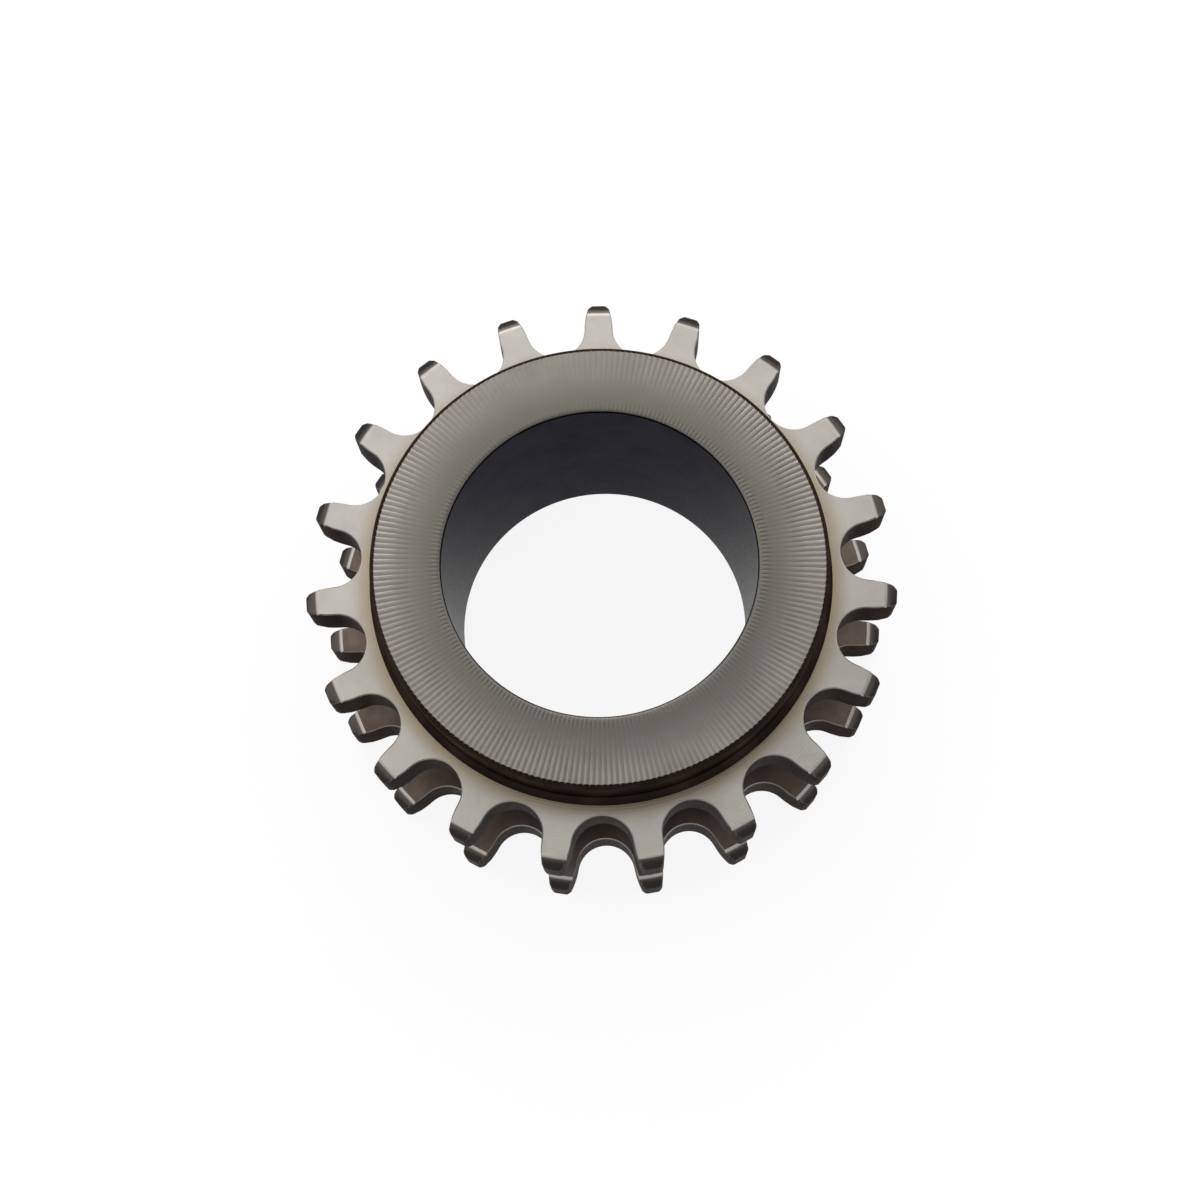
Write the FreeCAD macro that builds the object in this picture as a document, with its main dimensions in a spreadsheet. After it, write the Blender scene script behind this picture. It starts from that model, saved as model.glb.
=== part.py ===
import FreeCAD, Part
import math
import os
import Sketcher

# Crankshaft sprocket for two roller chains of 3/8 inch pitch: turned from one steel blank,
# with two rows of hobbed teeth in line and a serrated boss that the next part is clamped on.
# Millimetres. The origin is on the bore axis in the back face, and +Z points to the boss.

doc = FreeCAD.newDocument("CrankshaftSprocket")

# Driving sizes
sizes = [
    ("chain_pitch", 9.525),        # from one chain pin to the next
    ("roller_diameter", 6.35),     # chain roller that sits between two teeth
    ("tooth_count", 19),
    ("seat_clearance", 0.03),      # seat radius over the roller's own
    ("seat_half_angle", 80),       # degrees of seat on each side of the gap's bottom
    ("flank_radius", 9.5),         # convex flank above the seat
    ("flank_height", 2.75),        # from the pitch circle to the end of the curved flank
    ("tip_diameter", 63.2),
    ("tip_round_share", 0.82),     # radius that rounds the corners of a tip, of the tooth's thickness there
    ("tip_flat_share", 0.8),       # what the rounding leaves flat, of the same thickness
    ("tip_chamfer_depth", 1.4),    # turned off each tip, along the radius
    ("tip_chamfer_width", 0.55),   # and along the axis
    ("tooth_width", 5.3),          # one row, face to face
    ("row_spacing", 16.0),         # from a face of one row to the same face of the other
    ("relief_diameter", 47.0),     # between the rows, clear of the chain's link plates
    ("boss_diameter", 48.0),
    ("boss_height", 5.6),          # above the front row
    ("boss_foot", 0.7),            # bevel left round the foot of the boss
    ("boss_chamfer", 0.5),
    ("bore_diameter", 33.0),
    ("bore_chamfer", 0.4),
    ("serration_count", 240),      # V grooves across the outer part of the boss face
    ("serration_share", 0.587),    # of the boss face's width, from its edge to where the grooves run out
    ("serration_depth", 0.12),     # at the edge of the boss face
    ("serration_angle", 104),      # between the two sides of a groove
]
sheet = doc.addObject("Spreadsheet::Sheet", "Sizes")
for row, (alias, value) in enumerate(sizes, start=1):
    sheet.set(f"A{row}", alias)
    sheet.set(f"B{row}", str(value))
    sheet.setAlias(f"B{row}", alias)
doc.recompute()

# Places that follow from the sizes: radii from the axis, heights from the back face
pitch_radius = "Sizes.chain_pitch / 2 / sin(180 / Sizes.tooth_count)"
seat_radius = "(Sizes.roller_diameter / 2 + Sizes.seat_clearance)"
seat_end = f"{seat_radius} * sin(Sizes.seat_half_angle)"
tip_radius = "Sizes.tip_diameter / 2"
tip_edge_radius = "Sizes.tip_diameter / 2 - Sizes.tip_chamfer_depth"
flank_end = f"{pitch_radius} + Sizes.flank_height"
mouth_radius = f"{pitch_radius} + Sizes.tip_diameter / 2"
tooth_angle = "180 / Sizes.tooth_count"
turn_reach = f"({seat_radius} + Sizes.flank_radius)"
turn_offset = f"(Sizes.flank_height + {turn_reach} * cos(Sizes.seat_half_angle))"
turn_height = f"{turn_reach} * sin(Sizes.seat_half_angle)"
flank_end_height = f"({turn_height} - sqrt(Sizes.flank_radius ^ 2 - {turn_offset} ^ 2))"
tip_thickness = f"2 * (({flank_end}) * sin({tooth_angle}) - {flank_end_height} * cos({tooth_angle}))"
tip_round = f"(Sizes.tip_round_share * {tip_thickness})"
tip_flat = f"(Sizes.tip_flat_share * {tip_thickness})"
round_centre = f"{tip_radius} - sqrt({tip_round} ^ 2 - ({tip_flat} / 2) ^ 2)"
round_limit = f"{tip_radius} + {tip_flat}"
relief_radius = "Sizes.relief_diameter / 2"
boss_radius = "Sizes.boss_diameter / 2"
bore_radius = "Sizes.bore_diameter / 2"
back_face = "0"
front_face = "Sizes.row_spacing + Sizes.tooth_width"
boss_face = "Sizes.row_spacing + Sizes.tooth_width + Sizes.boss_height"
serration_width = "Sizes.serration_share * (Sizes.boss_diameter - Sizes.bore_diameter) / 2"
serration_start = f"{boss_radius} - {serration_width}"
serration_run = f"({serration_width} - Sizes.boss_chamfer)"


def read(expression):
    """What an expression in the sheet's sizes comes to now."""
    value = sheet.evalExpression(expression)
    return float(getattr(value, "Value", value))


def point(x, y):
    return FreeCAD.Vector(x, y, 0)


def new_sketch(body, name, role):
    """An empty sketch on the origin plane of the body that has this role."""
    plane = next(f for f in body.Origin.OriginFeatures if f.Role == role)
    sketch = body.newObject("Sketcher::SketchObject", name)
    sketch.AttachmentSupport = (plane, "")
    sketch.MapMode = "FlatFace"
    return sketch


def bind(sketch, kind, *where, to):
    """Add a constraint of this kind whose size follows an expression."""
    index = sketch.addConstraint(Sketcher.Constraint(kind, *where, read(to)))
    sketch.setExpression(f"Constraints[{index}]", to)


def tie(sketch, kind, *where):
    """Add a constraint that has no size."""
    sketch.addConstraint(Sketcher.Constraint(kind, *where))


def draw_half_section(sketch, corners):
    """A closed outline through corners, each given by its radius and its height."""
    points = [point(read(radius), read(height)) for radius, height in corners]
    for start, end in zip(points, points[1:] + points[:1]):
        sketch.addGeometry(Part.LineSegment(start, end))
    for line, (radius, height) in enumerate(corners):
        before = (line - 1) % len(corners)
        tie(sketch, "Coincident", before, 2, line, 1)
        bind(sketch, "DistanceX", -1, 1, line, 1, to=radius)
        if height == back_face:
            tie(sketch, "PointOnObject", line, 1, -1)
        else:
            bind(sketch, "DistanceY", -1, 1, line, 1, to=height)


def draw_tooth_gap(sketch):
    """The gap about the X axis: a seat for the roller, a convex flank on each side, then straight out."""
    centre = point(read(pitch_radius), 0)
    seat_size, flank_size = read(seat_radius), read("Sizes.flank_radius")
    half, slant = math.radians(read("Sizes.seat_half_angle")), math.radians(read(tooth_angle))
    foot, turn = [point(centre.x - reach * math.cos(half), reach * math.sin(half))
                  for reach in (seat_size, seat_size + flank_size)]
    top, mouth = read(flank_end), read(mouth_radius)
    lip = point(top, turn.y - math.sqrt(flank_size ** 2 - (top - turn.x) ** 2))
    middle = turn + ((foot + lip) * 0.5 - turn).normalize() * flank_size
    corner = point(mouth, lip.y + (mouth - top) * math.tan(slant))
    low_foot, low_lip, low_middle, low_corner = [point(p.x, -p.y) for p in (foot, lip, middle, corner)]

    seat = sketch.addGeometry(Part.Arc(foot, centre - point(seat_size, 0), low_foot))
    upper = sketch.addGeometry(Part.Arc(foot, middle, lip))
    lower = sketch.addGeometry(Part.Arc(low_foot, low_middle, low_lip))
    upper_side = sketch.addGeometry(Part.LineSegment(lip, corner))
    lower_side = sketch.addGeometry(Part.LineSegment(low_corner, low_lip))
    closing = sketch.addGeometry(Part.LineSegment(corner, low_corner))

    tie(sketch, "PointOnObject", seat, 3, -1)
    tie(sketch, "Symmetric", seat, 1, seat, 2, -1)
    tie(sketch, "Tangent", seat, 1, upper, 1)
    tie(sketch, "Tangent", seat, 2, lower, 2)
    tie(sketch, "Coincident", upper, 2, upper_side, 1)
    tie(sketch, "Coincident", upper_side, 2, closing, 1)
    tie(sketch, "Coincident", closing, 2, lower_side, 1)
    tie(sketch, "Coincident", lower_side, 2, lower, 1)
    tie(sketch, "Equal", upper, lower)
    tie(sketch, "Symmetric", closing, 1, closing, 2, -1)
    bind(sketch, "DistanceX", -1, 1, seat, 3, to=pitch_radius)
    bind(sketch, "Radius", seat, to=seat_radius)
    bind(sketch, "DistanceY", -1, 1, seat, 1, to=seat_end)
    bind(sketch, "Radius", upper, to="Sizes.flank_radius")
    bind(sketch, "DistanceX", -1, 1, upper, 2, to=flank_end)
    bind(sketch, "DistanceX", -1, 1, lower, 1, to=flank_end)
    bind(sketch, "DistanceX", -1, 1, closing, 1, to=mouth_radius)
    bind(sketch, "DistanceY", upper, 2, closing, 1,
         to=f"({mouth_radius} - ({flank_end})) * tan({tooth_angle})")


def draw_tip_round(sketch):
    """The metal outside a tooth's rounded tip, for a tooth that stands along the X axis."""
    size, middle, limit, side = [read(size) for size in (tip_round, round_centre, round_limit, seat_radius)]
    places = [(middle, size), (middle, side), (limit, side), (limit, -side), (middle, -side), (middle, -size)]
    points = [point(x, y) for x, y in places]
    for start, end in zip(points, points[1:]):
        sketch.addGeometry(Part.LineSegment(start, end))
    arc = sketch.addGeometry(Part.Arc(points[5], point(middle + size, 0), points[0]))
    for line in range(4):
        tie(sketch, "Coincident", line, 2, line + 1, 1)
    for line, kind in ((0, "Vertical"), (1, "Horizontal"), (3, "Horizontal"), (4, "Vertical")):
        tie(sketch, kind, line)
    tie(sketch, "Coincident", 4, 2, arc, 1)
    tie(sketch, "Coincident", arc, 2, 0, 1)
    tie(sketch, "PointOnObject", arc, 3, -1)
    tie(sketch, "Symmetric", 1, 2, 3, 1, -1)
    bind(sketch, "Radius", arc, to=tip_round)
    bind(sketch, "DistanceX", -1, 1, arc, 3, to=round_centre)
    for end in (1, 2):
        bind(sketch, "DistanceX", -1, 1, arc, end, to=round_centre)
    bind(sketch, "DistanceX", -1, 1, 1, 2, to=round_limit)
    bind(sketch, "DistanceY", -1, 1, 1, 2, to=seat_radius)


def draw_groove_section(sketch):
    """A V with its bottom at the sketch's origin, twice as high as the groove is deep."""
    height = "2 * Sizes.serration_depth"
    width = f"2 * {height} * tan(Sizes.serration_angle / 2)"
    left, right = [point(side * read(width) / 2, read(height)) for side in (-1, 1)]
    bottom = point(0, 0)
    for start, end in ((bottom, right), (right, left), (left, bottom)):
        sketch.addGeometry(Part.LineSegment(start, end))
    tie(sketch, "Coincident", 0, 1, -1, 1)
    tie(sketch, "Coincident", 0, 2, 1, 1)
    tie(sketch, "Coincident", 1, 2, 2, 1)
    tie(sketch, "Coincident", 2, 2, 0, 1)
    tie(sketch, "Symmetric", 1, 1, 1, 2, -2)
    bind(sketch, "DistanceY", -1, 1, 1, 1, to=height)
    bind(sketch, "DistanceX", 1, 2, 1, 1, to=width)


def ring_edges(shape, *rings):
    """Names of the full circles about the axis that have these radii and heights."""
    names = []
    for radius, height in rings:
        for number, edge in enumerate(shape.Edges, start=1):
            curve = edge.Curve
            if not isinstance(curve, Part.Circle) or abs(curve.Radius - read(radius)) > 1e-6:
                continue
            if abs(curve.Center.z - read(height)) < 1e-6:
                names.append(f"Edge{number}")
    return names


def bevel(body, name, size, base, *rings):
    """A chamfer of the named size on rings of the base feature, outer edges or inner corners."""
    feature = body.newObject("PartDesign::Chamfer", name)
    feature.Base = (base, ring_edges(base.Shape, *rings))
    feature.setExpression("Size", size)
    doc.recompute()
    return feature


def repeat(body, name, feature, count):
    """The feature repeated evenly round the axis, as the last step of the body."""
    pattern = body.newObject("PartDesign::PolarPattern", name)
    pattern.Originals = [feature]
    pattern.Axis = (next(f for f in body.Origin.OriginFeatures if f.Role == "Z_Axis"), [""])
    pattern.Angle = 360
    pattern.setExpression("Occurrences", count)
    body.Tip = pattern
    doc.recompute()
    return pattern


# The turned blank: two rims with chamfered tips, the relief between them, the boss and the bore
sprocket = doc.addObject("PartDesign::Body", "Sprocket")
sprocket.Label = "crankshaft_sprocket"
section = new_sketch(sprocket, "HalfSection", "XZ_Plane")
draw_half_section(section, [
    (bore_radius, back_face),
    (tip_edge_radius, back_face),
    (tip_radius, "Sizes.tip_chamfer_width"),
    (tip_radius, "Sizes.tooth_width - Sizes.tip_chamfer_width"),
    (tip_edge_radius, "Sizes.tooth_width"),
    (relief_radius, "Sizes.tooth_width"),
    (relief_radius, "Sizes.row_spacing"),
    (tip_edge_radius, "Sizes.row_spacing"),
    (tip_radius, "Sizes.row_spacing + Sizes.tip_chamfer_width"),
    (tip_radius, f"{front_face} - Sizes.tip_chamfer_width"),
    (tip_edge_radius, front_face),
    (boss_radius, front_face),
    (boss_radius, boss_face),
    (bore_radius, boss_face),
])
blank = sprocket.newObject("PartDesign::Revolution", "Blank")
blank.Profile = section
blank.ReferenceAxis = (section, ["V_Axis"])
blank.Angle = 360
doc.recompute()

foot = bevel(sprocket, "BossFoot", "Sizes.boss_foot", blank, (boss_radius, front_face))
rim = bevel(sprocket, "BossChamfer", "Sizes.boss_chamfer", foot, (boss_radius, boss_face))
lead = bevel(sprocket, "BoreChamfers", "Sizes.bore_chamfer", rim,
             (bore_radius, back_face), (bore_radius, boss_face))

# The teeth: one gap cut up through both rows, then repeated round the axis
gap_sketch = new_sketch(sprocket, "GapOutline", "XY_Plane")
draw_tooth_gap(gap_sketch)
gap = sprocket.newObject("PartDesign::Pocket", "ToothGap")
gap.Profile = gap_sketch
gap.Type = "ThroughAll"
gap.Reversed = True
doc.recompute()
teeth = repeat(sprocket, "Teeth", gap, "Sizes.tooth_count")

# The corners of the tips, rounded off on the first tooth and then on the rest
round_sketch = new_sketch(sprocket, "TipOutline", "XY_Plane")
draw_tip_round(round_sketch)
round_sketch.AttachmentOffset = FreeCAD.Placement(FreeCAD.Vector(), FreeCAD.Rotation(FreeCAD.Vector(0, 0, 1), 1))
round_sketch.setExpression("AttachmentOffset.Rotation.Angle", tooth_angle)
rounding = sprocket.newObject("PartDesign::Pocket", "TipRound")
rounding.Profile = round_sketch
rounding.Type = "ThroughAll"
rounding.Reversed = True
doc.recompute()
tips = repeat(sprocket, "Tips", rounding, "Sizes.tooth_count")

# The serrations: a V groove that starts in the boss face and sinks as it runs out to the edge
groove_sketch = new_sketch(sprocket, "GrooveSection", "YZ_Plane")
draw_groove_section(groove_sketch)
groove_sketch.AttachmentOffset = FreeCAD.Placement(FreeCAD.Vector(), FreeCAD.Rotation(FreeCAD.Vector(1, 0, 0), 1))
groove_sketch.setExpression("AttachmentOffset.Base.y", boss_face)
groove_sketch.setExpression("AttachmentOffset.Base.z", serration_start)
groove_sketch.setExpression("AttachmentOffset.Rotation.Angle", f"atan(Sizes.serration_depth / {serration_run})")
groove = sprocket.newObject("PartDesign::Pocket", "Groove")
groove.Profile = groove_sketch
groove.setExpression("Length", f"{serration_run} + Sizes.boss_chamfer")
groove.Reversed = True
doc.recompute()
serrations = repeat(sprocket, "Serrations", groove, "Sizes.serration_count")

# Nothing is written unless every object is sound and each cut took metal away
for item in doc.Objects:
    if {"Invalid", "Error"} & set(item.State):
        raise RuntimeError(f"{item.Label} failed: {item.State}")
for sketch in (section, gap_sketch, round_sketch, groove_sketch):
    if not sketch.FullyConstrained:
        raise RuntimeError(f"{sketch.Label} is not fully constrained")
cuts = [foot, rim, lead, gap, teeth, rounding, tips, groove, serrations]
for before, after in zip(cuts, cuts[1:]):
    if not after.Shape.Volume < before.Shape.Volume:
        raise RuntimeError(f"{after.Label} took nothing away")

os.makedirs("parts", exist_ok=True)
for body in (sprocket,):
    if body.Shape.isNull() or not body.Shape.isValid() or len(body.Shape.Solids) != 1:
        raise RuntimeError(f"{body.Label} is not one sound solid")
    body.Shape.exportStep(f"parts/{body.Label}.step")
    print(body.Label, round(body.Shape.Volume / 1000, 3), "cm3", body.Shape.BoundBox)
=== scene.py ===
import math

import bmesh
import bpy
from mathutils import Matrix, Vector


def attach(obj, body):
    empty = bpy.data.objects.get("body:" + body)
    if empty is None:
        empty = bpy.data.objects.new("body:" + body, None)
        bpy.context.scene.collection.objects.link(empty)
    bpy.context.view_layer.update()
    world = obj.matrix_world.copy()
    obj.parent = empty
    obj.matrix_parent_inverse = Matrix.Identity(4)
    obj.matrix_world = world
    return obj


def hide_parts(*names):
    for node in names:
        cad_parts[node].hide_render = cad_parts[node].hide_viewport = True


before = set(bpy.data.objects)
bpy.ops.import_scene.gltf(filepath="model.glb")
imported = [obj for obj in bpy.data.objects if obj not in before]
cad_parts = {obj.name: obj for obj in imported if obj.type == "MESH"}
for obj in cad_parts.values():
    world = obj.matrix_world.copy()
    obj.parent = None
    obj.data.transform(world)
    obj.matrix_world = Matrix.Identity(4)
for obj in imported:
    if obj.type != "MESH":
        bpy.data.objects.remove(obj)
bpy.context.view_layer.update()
print("frame loaded:", sorted(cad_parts))

# A double-row crankshaft sprocket of machined steel, bright on the faces ground after turning and hobbing;
# the dark colours of its walls, gaps, tips and bore are painted shade. Sizes in the dictionaries are
# millimetres and degrees.

sprocket = {
    "chainPitch": 9.525,
    "rollerDiameter": 6.35,
    "toothCount": 19,
    "seatClearance": 0.03,
    "seatHalfAngle": 80,
    "flankRadius": 9.5,
    "tipDiameter": 63.2,
    "tipRound": 1.42,      # rounds the corners of a tip, down to the flat
    "tipFlat": 1.39,
    "tipChamferDepth": 1.4,
    "tipChamferWidth": 0.55,
    "tipSwell": 0.1,       # how far the chamfer stands up halfway along its slope
    "toothWidth": 5.3,
    "rowSpacing": 16.0,
    "reliefDiameter": 47.0,
    "bossDiameter": 48.0,
    "bossHeight": 5.6,
    "bossFoot": 0.7,
    "bossChamfer": 0.5,
    "boreDiameter": 33.0,
    "boreChamfer": 0.4,
    "edgeBreak": 0.12,     # burr taken off round the gaps, where they meet the ground faces
    "edgeSlope": 0.125,    # height of that broken edge over its width, where it runs round a tip
    "seatSteps": 10,       # mesh steps along half a seat, a flank, its end, a round and half a tip
    "flankSteps": 5,
    "chamferSteps": 4,
    "roundSteps": 4,
    "landSteps": 2,
}

# Radial V grooves across the clamping face, deepest where they run out at its two edges
serrations = {
    "count": 240,
    "outerStart": 19.6,    # radius where the outer grooves begin, and their depth at the rim
    "outerDepth": 0.08,
    "innerStart": 17.9,    # radius where the faint inner grooves begin, and their depth at the bore
    "innerDepth": 0.02,
    "outerGain": 1.4,      # above 1, an outer groove stays shallow at first and deepens late
    "angle": 142,          # between the two sides of a groove
    "leastHalf": 0.03,     # half the width of a groove's strip of mesh, where the groove has no depth
    "rimRound": 0.2,       # radius where the ground face rolls over into the chamfer of the boss
    "steps": 4,            # rings of the mesh along a groove, and round an edge
}


def polar(radius, angle, height):
    return Vector((radius * math.cos(angle), radius * math.sin(angle), height)) / 1000


def spread(start, end, steps):
    return [start + (end - start) * step / steps for step in range(steps + 1)]


def pitchRadiusOf(p):
    return p["chainPitch"] / 2 / math.sin(math.pi / p["toothCount"])


# The toothed outline once round the axis, as (radius, angle). An inset moves the walls of the gaps
# into the metal. A point of each flank lies on edgeRadius, where the chamfer of the tip starts.
def toothedOutline(p, inset, edgeRadius):
    pitchRadius = pitchRadiusOf(p)
    seat = p["rollerDiameter"] / 2 + p["seatClearance"]
    half = math.radians(p["seatHalfAngle"])
    turn = Vector((pitchRadius - (seat + p["flankRadius"]) * math.cos(half),
                   (seat + p["flankRadius"]) * math.sin(half)))
    tip, slant = p["tipDiameter"] / 2, math.pi / p["toothCount"]
    rounding, flat = p["tipRound"], p["tipFlat"] / 2
    roundCentre = Matrix.Rotation(slant, 2) @ Vector((tip - math.sqrt(rounding ** 2 - flat ** 2), 0))

    def seatPoint(angle):
        return Vector((pitchRadius - (seat + inset) * math.cos(angle), (seat + inset) * math.sin(angle)))

    def flankPoint(turned):
        away = Vector((math.cos(half - turned), -math.sin(half - turned)))
        return turn + (p["flankRadius"] - inset) * away

    def roundPoint(angle):
        return roundCentre + rounding * Vector((math.cos(slant - angle), math.sin(slant - angle)))

    # How far the flank turns, in radians, before it leaves the circle of this radius: the span from
    # the start to most is halved over and over
    def turnedTo(start, centre, radius):
        most, halvings = 1.0, 40
        low, high = start, most
        for _ in range(halvings):
            middle = (low + high) / 2
            if (flankPoint(middle) - centre).length < radius:
                low = middle
            else:
                high = middle
        return low

    edgeTurn = turnedTo(0.0, Vector((0, 0)), edgeRadius)
    roundTurn = turnedTo(edgeTurn, roundCentre, rounding)
    start = flankPoint(roundTurn) - roundCentre
    roundStart, roundEnd = slant - math.atan2(start.y, start.x), math.asin(flat / rounding)
    points = [seatPoint(angle) for angle in spread(0, half, p["seatSteps"])]
    points += [flankPoint(turned) for turned in spread(0, edgeTurn, p["flankSteps"])[1:]]
    points += [flankPoint(turned) for turned in spread(edgeTurn, roundTurn, p["chamferSteps"])[1:]]
    points += [roundPoint(angle) for angle in spread(roundStart, roundEnd, p["roundSteps"])[1:]]
    side = [(point.length, math.atan2(point.y, point.x)) for point in points]
    side += [(tip, angle) for angle in spread(side[-1][1], slant, p["landSteps"])[1:]]
    gap = [(radius, -angle) for radius, angle in reversed(side[1:-1])] + side
    turns = [2 * slant * tooth for tooth in range(p["toothCount"])]
    return [(radius, angle + turned) for turned in turns for radius, angle in gap]


def addRing(mesh, points):
    return [mesh.verts.new(point) for point in points]


def joinRings(mesh, rings):
    for first, second in zip(rings, rings[1:]):
        for i, start in enumerate(first):
            j = (i + 1) % len(first)
            mesh.faces.new((start, first[j], second[j], second[i]))


# Two rings with unlike numbers of points, such as the toothed part's and the serrated face's
def bridgeRings(mesh, first, second):
    edges = []
    for ring in (first, second):
        for start, end in zip(ring, ring[1:] + ring[:1]):
            edges.append(mesh.edges.get((start, end)) or mesh.edges.new((start, end)))
    bmesh.ops.bridge_loops(mesh, edges=edges)


# The rings of one row of teeth, from its lower face up to its upper one. Inside the cap radius a
# ring follows the gaps, and round the tips it lies on the cap radius, at a height of its own.
def rowRings(mesh, p, bottom):
    tip, depth, width = p["tipDiameter"] / 2, p["tipChamferDepth"], p["tipChamferWidth"]
    edge, broken = tip - depth, p["edgeBreak"]
    drop = broken * p["edgeSlope"]
    outline = toothedOutline(p, 0, edge + broken)
    steps = [(toothedOutline(p, broken, edge - broken / 2), edge - broken / 2, 0, 0)]
    for part in spread(0, 1, p["chamferSteps"]):
        swell = p["tipSwell"] * 4 * part * (1 - part)
        steps.append((outline, edge + broken / 2 + (depth - broken / 2) * part,
                      broken + (width - broken) * part, drop + (width - drop) * part - swell))

    def ring(outline, cap, height, capHeight, base, way):
        points = []
        for radius, angle in outline:
            rise = height if radius <= cap else capHeight
            points.append(polar(min(radius, cap), angle, base + way * rise))
        return addRing(mesh, points)

    rings = [ring(*step, bottom, 1) for step in steps]
    rings += [ring(*step, bottom + p["toothWidth"], -1) for step in reversed(steps)]
    return rings


# The rings of the boss face, from the bore's edge to the boss's rim, with a V at each groove
def clampFaceRings(mesh, p, s, top):
    bore, rim = p["boreDiameter"] / 2 + p["boreChamfer"], p["bossDiameter"] / 2 - p["bossChamfer"]
    step = 2 * math.pi / s["count"]
    slope = math.tan(math.radians(s["angle"] / 2))
    roundStart = rim - s["rimRound"] / 2

    def ring(radius, height, depth=0.0):
        half = max(depth * slope, s["leastHalf"]) / radius
        points = []
        for groove in range(s["count"]):
            middle = groove * step
            points += [polar(radius, middle - half, height), polar(radius, middle, height - depth)]
            points += [polar(radius, middle + half, height), polar(radius, middle + step / 2, height)]
        return addRing(mesh, points)

    rings = []
    for turned in spread(0, math.pi / 2, s["steps"])[:-1]:
        rings.append(ring(bore - p["boreChamfer"] * math.cos(turned),
                          top - p["boreChamfer"] * (1 - math.sin(turned))))
    for part in spread(1, 0, s["steps"]):
        rings.append(ring(s["innerStart"] + (bore - s["innerStart"]) * part, top, s["innerDepth"] * part))
    for part in spread(0, 1, s["steps"]):
        rings.append(ring(s["outerStart"] + (roundStart - s["outerStart"]) * part, top,
                          s["outerDepth"] * part ** s["outerGain"]))
    for turned in spread(0, math.pi / 4, s["steps"])[1:]:
        down = s["rimRound"] * (1 - math.cos(turned))
        rings.append(ring(roundStart + s["rimRound"] * math.sin(turned), top - down,
                          max(s["outerDepth"] - down, 0)))
    rings.append(ring(rim + s["outerDepth"], top - s["outerDepth"]))
    rings.append(ring(rim + p["bossChamfer"], top - p["bossChamfer"]))
    return rings


finishes = ["rowFace", "backFace", "innerFace", "hobbed", "tip", "turned", "bore", "clampFace",
            "brokenEdge"]

# Where a face of the mesh counts as flat or slanted, by its normal's share along the axis, and from
# which angle between two faces their edge is sharp
surfaces = {"flatFrom": 0.95, "slantedFrom": 0.3, "sharpFrom": 28}


# Which finish a face of the mesh has, from where it lies and which way it looks
def finishOf(face, p, top):
    centre = face.calc_center_median() * 1000
    radius = math.hypot(centre.x, centre.y)
    tipEdge = p["tipDiameter"] / 2 - p["tipChamferDepth"]
    root = pitchRadiusOf(p) - p["rollerDiameter"] / 2 - 2 * p["edgeBreak"]
    flat = abs(face.normal.z) > surfaces["flatFrom"]
    slanted = abs(face.normal.z) > surfaces["slantedFrom"]
    if radius < p["boreDiameter"] / 2 + p["boreChamfer"] / 4:
        return "bore"
    if radius < p["bossDiameter"] / 2 - p["bossChamfer"] and centre.z > top - p["bossChamfer"]:
        return "clampFace"
    if slanted and radius > tipEdge - p["edgeBreak"] / 2:
        return "tip" if radius > tipEdge + p["edgeBreak"] / 2 else "brokenEdge"
    if flat and centre.z < p["toothWidth"] / 2:
        return "backFace"
    if flat:
        return "innerFace" if centre.z < p["rowSpacing"] + p["toothWidth"] / 2 else "rowFace"
    if radius > root:
        return "brokenEdge" if slanted else "hobbed"
    return "turned"


def makeSprocket(p, s):
    mesh = bmesh.new()
    tipEdge = p["tipDiameter"] / 2 - p["tipChamferDepth"]
    angles = [angle for radius, angle in toothedOutline(p, 0, tipEdge)]

    def circle(radius, height):
        return addRing(mesh, [polar(radius, angle, height) for angle in angles])

    bore, boss, relief = p["boreDiameter"] / 2, p["bossDiameter"] / 2, p["reliefDiameter"] / 2
    front = p["rowSpacing"] + p["toothWidth"]
    top = front + p["bossHeight"]
    rings = [circle(bore, p["boreChamfer"]), circle(bore + p["boreChamfer"], 0)]
    rings += rowRings(mesh, p, 0)
    rings += [circle(relief, p["toothWidth"]), circle(relief, p["rowSpacing"])]
    rings += rowRings(mesh, p, p["rowSpacing"])
    rings += [circle(boss + p["bossFoot"], front), circle(boss, front + p["bossFoot"])]
    joinRings(mesh, rings)
    clampFace = clampFaceRings(mesh, p, s, top)
    joinRings(mesh, clampFace)
    bridgeRings(mesh, rings[-1], clampFace[-1])
    bridgeRings(mesh, rings[0], clampFace[0])
    bmesh.ops.recalc_face_normals(mesh, faces=mesh.faces)
    for face in mesh.faces:
        face.material_index = finishes.index(finishOf(face, p, top))
        face.smooth = True
    for edge in mesh.edges:
        oneFinish = len({face.material_index for face in edge.link_faces}) == 1
        edge.smooth = oneFinish and edge.calc_face_angle() < math.radians(surfaces["sharpFrom"])
    data = bpy.data.meshes.new("crankshaftSprocket")
    mesh.to_mesh(data)
    mesh.free()
    piece = bpy.data.objects.new("crankshaftSprocket", data)
    bpy.context.scene.collection.objects.link(piece)
    return piece


body = makeSprocket(sprocket, serrations)
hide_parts("crankshaft_sprocket")
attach(body, "root")
print("sprocket modelled:", len(body.data.polygons), "faces")


def linear(hexColour):
    channels = [int(hexColour[i:i + 2], 16) / 255 for i in (1, 3, 5)]
    return [c / 12.92 if c <= 0.04045 else ((c + 0.055) / 1.055) ** 2.4 for c in channels] + [1]


# Adds a node with its settings, and links other nodes' sockets to its inputs
def addNode(tree, kind, links=None, **settings):
    node = tree.nodes.new("ShaderNode" + kind)
    inputs = settings.pop("inputs", {})
    for key, value in settings.items():
        setattr(node, key, value)
    for key, value in inputs.items():
        node.inputs[key].default_value = value
    for key, socket in (links or {}).items():
        tree.links.new(socket, node.inputs[key])
    return node


def newMaterial(name):
    material = bpy.data.materials.new(name)
    material.use_nodes = True
    material.node_tree.nodes.clear()
    return material, material.node_tree


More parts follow.
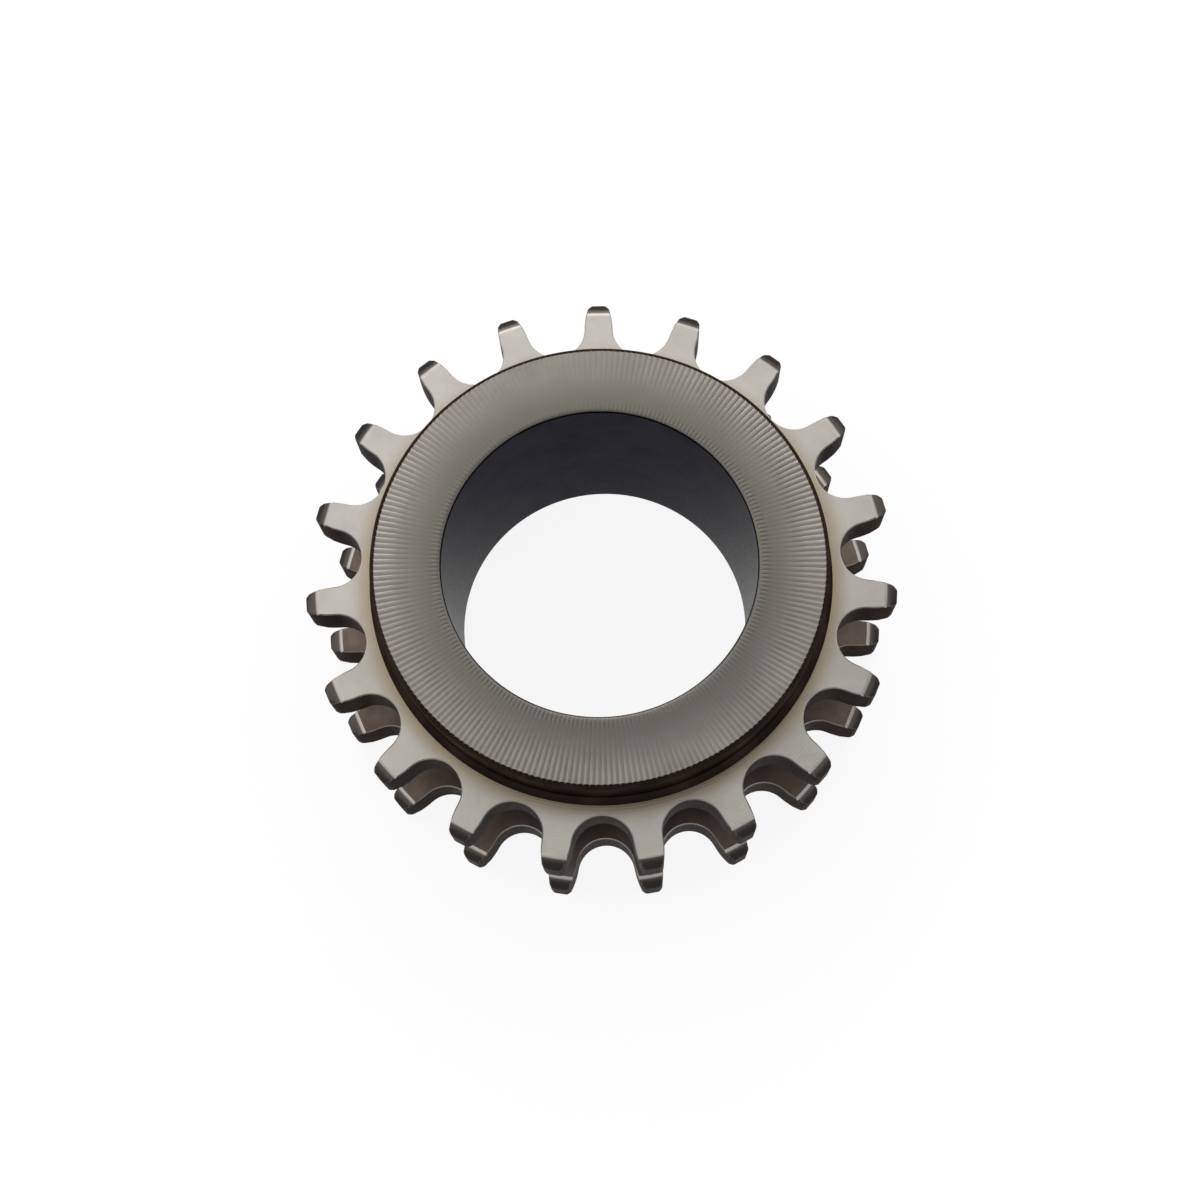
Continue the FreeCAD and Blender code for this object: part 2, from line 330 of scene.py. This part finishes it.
# The noise of every finish: its octaves, their roughness, and the part of its range that is used.
# The grain stands up by a share of its own size.
noises = {
    "cloud": {"detail": 4, "roughness": 0.6, "low": 0.35, "high": 0.65},
    "grain": {"detail": 3, "roughness": 0.7, "low": 0.25, "high": 0.75, "height": 0.25},
}


# Steel with a cloudy tint, fine grain and marks of the tool. Patterns are in millimetres of the part.
def makeSteel(name, look, cloudy, grainy):
    material, tree = newMaterial(name)
    place = addNode(tree, "TexCoord").outputs["Object"]
    place = addNode(tree, "VectorMath", {0: place}, operation="SCALE", inputs={"Scale": 1000}).outputs[0]
    across = addNode(tree, "VectorMath", {0: place}, operation="MULTIPLY", inputs={1: (1, 1, 0)}).outputs[0]
    radius = addNode(tree, "VectorMath", {0: across}, operation="LENGTH").outputs["Value"]

    cloud = addNode(tree, "TexNoise", {"Vector": place},
                    inputs={"Scale": 1 / look["cloudSize"], "Detail": cloudy["detail"],
                            "Roughness": cloudy["roughness"]}).outputs["Fac"]
    cloud = addNode(tree, "MapRange", {"Value": cloud},
                    inputs={"From Min": cloudy["low"], "From Max": cloudy["high"]}).outputs[0]
    colour = addNode(tree, "Mix", {"Factor": cloud}, data_type="RGBA",
                     inputs={"A": linear(look["colour"]), "B": linear(look["tint"])}).outputs["Result"]
    # A second colour mixed in by radius: a straw heat tint on the row faces, painted shade with a painted
    # highlight on the tips, darker towards the bore on the clamping face
    if "radialColour" in look:
        radialMix = addNode(tree, "MapRange", {"Value": radius}, interpolation_type="SMOOTHSTEP",
                       inputs={"From Min": look["radialFrom"], "From Max": look["radialTo"],
                               "To Min": look["radialShare"], "To Max": 0}).outputs[0]
        colour = addNode(tree, "Mix", {"Factor": radialMix, "A": colour}, data_type="RGBA",
                         inputs={"B": linear(look["radialColour"])}).outputs["Result"]

    grain = addNode(tree, "TexNoise", {"Vector": place},
                    inputs={"Scale": 1 / look["grainSize"], "Detail": grainy["detail"],
                            "Roughness": grainy["roughness"]}).outputs["Fac"]
    rough = addNode(tree, "MapRange", {"Value": grain},
                    inputs={"From Min": grainy["low"], "From Max": grainy["high"],
                            "To Min": look["roughness"] - look["uneven"],
                            "To Max": look["roughness"] + look["uneven"]}).outputs[0]
    relief = grain
    if "feed" in look:
        turns = addNode(tree, "Math", {0: radius}, operation="MULTIPLY",
                        inputs={1: 2 * math.pi / look["feed"]}).outputs[0]
        turns = addNode(tree, "Math", {0: turns}, operation="SINE").outputs[0]
        relief = addNode(tree, "Math", {0: turns, 2: grain}, operation="MULTIPLY_ADD",
                         inputs={1: look["feedShare"]}).outputs[0]
    height = look["grainSize"] * grainy["height"] / 1000
    bump = addNode(tree, "Bump", {"Height": relief},
                   inputs={"Strength": look["bump"], "Distance": height}).outputs[0]
    # Below 1, the edge tint dims the grazing reflection: painted shade
    edge = look.get("edge", 1)
    surface = addNode(tree, "BsdfPrincipled", {"Base Color": colour, "Roughness": rough, "Normal": bump},
                      inputs={"Metallic": look["metallic"],
                              "Specular Tint": (edge, edge, edge, 1)}).outputs[0]
    addNode(tree, "OutputMaterial", {"Surface": surface})
    return material


# Sizes, the tool's feed per turn and the radii where a second colour is mixed in are millimetres. Below 1,
# "edge" darkens what a face reflects at a grazing angle: painted shade on the walls, tips, bore and the
# faces between the rows.
looks = {
    # Ground after hobbing: the palest faces, satin, straw coloured by heat close to the boss
    "rowFace": {"colour": "#C6C2BB", "tint": "#BAB5AE", "cloudSize": 5.0, "grainSize": 0.25,
                "roughness": 0.36, "uneven": 0.06, "bump": 0.12, "metallic": 1, "feed": 0.35,
                "feedShare": 0.2, "radialColour": "#A39471", "radialFrom": 24.6, "radialTo": 27.0,
                "radialShare": 0.75},
    # The back face, ground as well but never hot
    "backFace": {"colour": "#C6C2BB", "tint": "#BAB5AE", "cloudSize": 5.0, "grainSize": 0.25,
                 "roughness": 0.36, "uneven": 0.06, "bump": 0.12, "metallic": 1},
    # The sides of the rows that face each other were never ground, so duller; their darker, browner colour
    # is painted shade that the rows cast on each other
    "innerFace": {"colour": "#7E7168", "tint": "#6A5D55", "cloudSize": 3.0, "grainSize": 0.3,
                  "roughness": 0.42, "uneven": 0.08, "bump": 0.2, "metallic": 0.9, "edge": 0.6},
    # Hobbed flanks and seats, matt, grey-brown: their dark colour is painted shade of the gaps
    "hobbed": {"colour": "#342E2A", "tint": "#433A34", "cloudSize": 2.2, "grainSize": 0.3,
               "roughness": 0.42, "uneven": 0.1, "bump": 0.25, "metallic": 1, "edge": 0.36},
    # Tips turned before the teeth were cut: the bright grey next to the face is a painted highlight, and
    # the dark rest of the chamfer is painted shade
    "tip": {"colour": "#BCB7B0", "tint": "#AFAAA3", "cloudSize": 1.8, "grainSize": 0.2,
            "roughness": 0.3, "uneven": 0.03, "bump": 0.05, "metallic": 1, "edge": 0.5,
            "radialColour": "#5A5450", "radialFrom": 30.62, "radialTo": 30.36, "radialShare": 1},
    # Turned walls that were never ground: their dark brown is painted shade on the boss wall, its foot and
    # the relief between the rows
    "turned": {"colour": "#362C27", "tint": "#423731", "cloudSize": 3.0, "grainSize": 0.3,
               "roughness": 0.4, "uneven": 0.08, "bump": 0.2, "metallic": 1, "edge": 0.45},
    # Honed bore, a little blue, smoother than the rest: its dark colour is painted shade of the hole
    "bore": {"colour": "#2E2D34", "tint": "#27262C", "cloudSize": 4.0, "grainSize": 0.3,
             "roughness": 0.3, "uneven": 0.06, "bump": 0.15, "metallic": 1, "edge": 0.5},
    # Clamping face: ground, then serrated, a duller and warmer grey than the row faces, and darker
    # still towards the bore
    "clampFace": {"colour": "#96918B", "tint": "#8C8781", "cloudSize": 6.0, "grainSize": 0.25,
                  "roughness": 0.33, "uneven": 0.06, "bump": 0.12, "metallic": 1, "radialColour": "#74706A",
                  "radialFrom": 17.0, "radialTo": 23.0, "radialShare": 1},
    # Edges with the burr taken off: bare bright steel
    "brokenEdge": {"colour": "#C8C4BE", "tint": "#B8B4AE", "cloudSize": 2.0, "grainSize": 0.2,
                   "roughness": 0.34, "uneven": 0.05, "bump": 0.05, "metallic": 1},
}
for finish in finishes:
    body.data.materials.append(makeSteel(finish + "Steel", looks[finish], noises["cloud"], noises["grain"]))
print("materials made:", len(looks))

# A plain pale floor, white to the camera and in reflections, with a share of it left for shadow.
# Its size is metres.
floor = {"size": 10.0, "colour": "#FFFFFF", "shade": 0.18, "white": 1.08}


def makeFloor(p):
    data = bpy.data.meshes.new("floor")
    half = p["size"] / 2
    corners = [(-half, -half, 0), (half, -half, 0), (half, half, 0), (-half, half, 0)]
    data.from_pydata(corners, [], [(0, 1, 2, 3)])
    material, tree = newMaterial("paleFloor")
    matt = addNode(tree, "BsdfDiffuse", inputs={"Color": linear(p["colour"])}).outputs[0]
    white = addNode(tree, "Emission", inputs={"Color": (1, 1, 1, 1), "Strength": p["white"]}).outputs[0]
    path = addNode(tree, "LightPath")
    seen = path.outputs["Is Camera Ray"]
    for ray in ("Is Glossy Ray", "Is Transmission Ray"):
        seen = addNode(tree, "Math", {0: seen, 1: path.outputs[ray]}, operation="MAXIMUM").outputs[0]
    seen = addNode(tree, "Math", {0: seen}, operation="MULTIPLY", inputs={1: 1 - p["shade"]}).outputs[0]
    mixed = addNode(tree, "MixShader", {0: seen, 1: matt, 2: white}).outputs[0]
    addNode(tree, "OutputMaterial", {"Surface": mixed})
    data.materials.append(material)
    plane = bpy.data.objects.new("floor", data)
    bpy.context.scene.collection.objects.link(plane)


makeFloor(floor)

# Soft studio light: a long ceiling over the far side, a dimmer strip over the camera's side, small
# lamps between them on both sides, and one low at the back for the far sides of the serrations.
# Places are metres, brightness is what a mirror would show of the lamp.
lights = {
    "ceiling": {"place": (-0.2, 0.76, 1.0), "faces": (0, 0, -1), "turn": 12,
                "width": 10.0, "length": 1.2, "brightness": 0.88},
    "front": {"place": (0.05, -0.25, 1.0), "faces": (0, 0, -1), "turn": 0,
              "width": 2.1, "length": 0.38, "brightness": 0.76},
    "left": {"place": (-0.44, 0.02, 1.0), "faces": (0, 0, -1), "turn": 0,
             "width": 0.5, "length": 0.3, "brightness": 0.7},
    "right": {"place": (0.8, 0.22, 1.0), "faces": (0, 0, -1), "turn": 0,
              "width": 0.4, "length": 0.4, "brightness": 0.9},
    "back": {"place": (-0.08, 1.2, 0.86), "faces": (0.08, -1.2, -0.86), "turn": 0,
             "width": 0.75, "length": 0.35, "brightness": 3.0},
}
world = {"colour": "#FFFFFF", "strength": 0.22}


def makeLight(name, p):
    data = bpy.data.lights.new(name + "Light", "AREA")
    data.shape = "RECTANGLE"
    data.size, data.size_y = p["width"], p["length"]
    data.energy = p["brightness"] * math.pi * p["width"] * p["length"]
    lamp = bpy.data.objects.new(name + "Light", data)
    lamp.location = p["place"]
    lamp.rotation_euler = Vector(p["faces"]).to_track_quat("-Z", "Y").to_euler()
    lamp.rotation_euler.rotate_axis("Z", math.radians(p["turn"]))
    bpy.context.scene.collection.objects.link(lamp)


for name, values in lights.items():
    makeLight(name, values)
bpy.context.scene.world = bpy.data.worlds.new("studio")
bpy.context.scene.world.use_nodes = True
sky = bpy.context.scene.world.node_tree.nodes["Background"]
sky.inputs["Color"].default_value = linear(world["colour"])
sky.inputs["Strength"].default_value = world["strength"]
bpy.context.scene.view_settings.view_transform = "Standard"
print("stage and lights set")

# The photograph's view, steeply down on the near side
view = {
    "elevation": 74.058,
    "azimuth": -0.391,      # of the camera from the -Y side
    "distance": 197.668,
    "aim": (-0.270, -2.649, 21.3),
    "roll": -4.962,
    "focalPixels": 1859.6,
    "framePixels": 1200,
    "sensor": 36,
    "nearest": 10,          # nothing closer to the camera than this is drawn
}


def makeCamera(p):
    data = bpy.data.cameras.new("camera")
    data.sensor_width = p["sensor"]
    data.lens = p["sensor"] * p["focalPixels"] / p["framePixels"]
    data.clip_start = p["nearest"] / 1000
    camera = bpy.data.objects.new("camera", data)
    tilt = math.radians(90 - p["elevation"])
    turn = Matrix.Rotation(math.radians(p["azimuth"]), 4, "Z")
    aim = turn @ (Vector(p["aim"]) / 1000)
    pose = Matrix.Rotation(tilt, 4, "X") @ Matrix.Rotation(math.radians(p["roll"]), 4, "Z")
    back = Matrix.Translation((0, 0, p["distance"] / 1000))
    camera.matrix_world = Matrix.Translation(aim) @ turn @ pose @ back
    bpy.context.scene.collection.objects.link(camera)
    bpy.context.scene.camera = camera


makeCamera(view)
